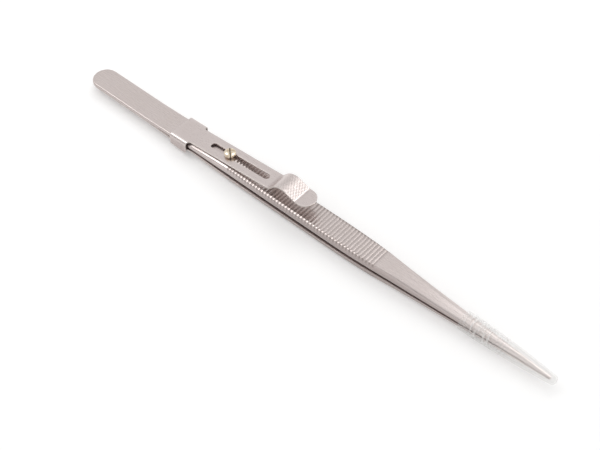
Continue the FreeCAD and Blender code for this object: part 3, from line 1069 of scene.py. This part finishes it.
def seenShare(tree):
    # 1 for what the camera, a mirror or a clear piece sees, 0 for light on matt surfaces
    path = node(tree, "ShaderNodeLightPath")
    total = path.outputs["Is Camera Ray"]
    for label in ("Is Glossy Ray", "Is Transmission Ray"):
        add = node(tree, "ShaderNodeMath", operation="ADD", use_clamp=True)
        tree.links.new(total, add.inputs[0])
        tree.links.new(path.outputs[label], add.inputs[1])
        total = add.outputs[0]
    return total


def makeFloor():
    half = studio["floorSize"] / 2
    low = cadBox[0].z
    mesh = bpy.data.meshes.new("floor")
    mesh.from_pydata([(-half, -half, low), (half, -half, low), (half, half, low),
                      (-half, half, low)], [], [(0, 1, 2, 3)])
    floor = bpy.data.objects.new("floor", mesh)
    bpy.context.scene.collection.objects.link(floor)
    made, tree, shader = newMaterial("floorPaper")
    link = tree.links.new
    shader.inputs["Base Color"].default_value = studio["floorColour"]
    shader.inputs["Roughness"].default_value = studio["floorRoughness"]
    shader.inputs["Specular IOR Level"].default_value = 0.0
    glow = node(tree, "ShaderNodeEmission")
    glow.inputs["Strength"].default_value = studio["floorGlow"]
    lift = node(tree, "ShaderNodeMath", operation="MULTIPLY", in_1=studio["floorLift"])
    link(seenShare(tree), lift.inputs[0])
    # far from the tool, out of the lamps' reach, the paper stays as white as the backdrop
    where = node(tree, "ShaderNodeTexCoord")
    away = node(tree, "ShaderNodeVectorMath", operation="LENGTH")
    link(where.outputs["Object"], away.inputs[0])
    far = node(tree, "ShaderNodeMapRange", in_1=studio["fadeFrom"], in_2=studio["fadeTo"])
    link(away.outputs["Value"], far.inputs[0])
    path = node(tree, "ShaderNodeLightPath")
    inView = node(tree, "ShaderNodeMath", operation="MULTIPLY")
    link(far.outputs[0], inView.inputs[0])
    link(path.outputs["Is Camera Ray"], inView.inputs[1])
    share = node(tree, "ShaderNodeMath", operation="ADD", use_clamp=True)
    link(lift.outputs[0], share.inputs[0])
    link(inView.outputs[0], share.inputs[1])
    mix = node(tree, "ShaderNodeMixShader")
    link(share.outputs[0], mix.inputs[0])
    link(shader.outputs[0], mix.inputs[1])
    link(glow.outputs[0], mix.inputs[2])
    link(mix.outputs[0], tree.nodes["Material Output"].inputs["Surface"])
    mesh.materials.append(made)


def makeCard(name, towards, distance, width, height, grey):
    w, h = width / 2, height / 2
    mesh = bpy.data.meshes.new(name)
    mesh.from_pydata([(-w, -h, 0), (w, -h, 0), (w, h, 0), (-w, h, 0)], [], [(0, 1, 2, 3)])
    card = bpy.data.objects.new(name, mesh)
    bpy.context.scene.collection.objects.link(card)
    way = Vector(towards).normalized()
    card.location = way * distance
    card.rotation_euler = (-way).to_track_quat("Z", "Y").to_euler()
    card.visible_camera = False
    card.visible_diffuse = False
    card.visible_transmission = False
    card.visible_shadow = False
    made = bpy.data.materials.new(name)
    made.use_nodes = True
    tree = made.node_tree
    tree.nodes.remove(tree.nodes["Principled BSDF"])
    paper = node(tree, "ShaderNodeEmission", in_0=(grey, grey, grey, 1))
    tree.links.new(paper.outputs[0], tree.nodes["Material Output"].inputs["Surface"])
    mesh.materials.append(made)


def makeWorld():
    world = bpy.data.worlds.new("studio")
    bpy.context.scene.world = world
    world.use_nodes = True
    tree = world.node_tree
    link = tree.links.new
    lighting = tree.nodes["Background"]
    lighting.inputs["Color"].default_value = studio["world"]
    seen = node(tree, "ShaderNodeBackground")
    seen.inputs["Color"].default_value = (1, 1, 1, 1)
    mix = node(tree, "ShaderNodeMixShader")
    link(seenShare(tree), mix.inputs[0])
    link(lighting.outputs[0], mix.inputs[1])
    link(seen.outputs[0], mix.inputs[2])
    link(mix.outputs[0], tree.nodes["World Output"].inputs["Surface"])


def softBox(name, towards, distance, size, watts, mirrored):
    light = bpy.data.lights.new(name, "AREA")
    light.shape = "DISK"
    light.size = size
    light.energy = watts
    lamp = bpy.data.objects.new(name, light)
    bpy.context.scene.collection.objects.link(lamp)
    way = Vector(towards).normalized()
    lamp.location = way * distance
    lamp.rotation_euler = (-way).to_track_quat("-Z", "Y").to_euler()
    lamp.visible_glossy = mirrored


lamps = {
    # direction, distance and size in metres, power in watts, whether it shows in the metal
    "nearStrip": ((-0.58, -0.13, 0.80), 0.9, 0.45, 1.2, True),
    "farWindow": ((-0.32, 0.50, 0.80), 0.9, 0.75, 1.7, False),
}

view = {"azimuth": 41.11, "elevation": 50.99, "distance": 0.34353,
        "aim": (85.41, -4.06, 0.0), "lens": 75.14, "sensor": 36.0, "nearest": 0.01}


def makeCamera():
    data = bpy.data.cameras.new("camera")
    data.lens = view["lens"]
    data.sensor_width = view["sensor"]
    data.clip_start = view["nearest"]
    camera = bpy.data.objects.new("camera", data)
    bpy.context.scene.collection.objects.link(camera)
    az, el = radians(view["azimuth"]), radians(view["elevation"])
    way = Vector((cos(el) * sin(az), -cos(el) * cos(az), sin(el)))
    camera.location = place(*view["aim"]) + way * view["distance"]
    camera.rotation_euler = (-way).to_track_quat("-Z", "Y").to_euler()
    bpy.context.scene.camera = camera


print("studio")
makeFloor()
makeWorld()
for label, (towards, distance, width, height, grey) in cards.items():
    makeCard(label, towards, distance, width, height, grey)
for label, (towards, distance, size, watts, mirrored) in lamps.items():
    softBox(label, towards, distance, size, watts, mirrored)
makeCamera()
bpy.context.scene.view_settings.view_transform = "Standard"
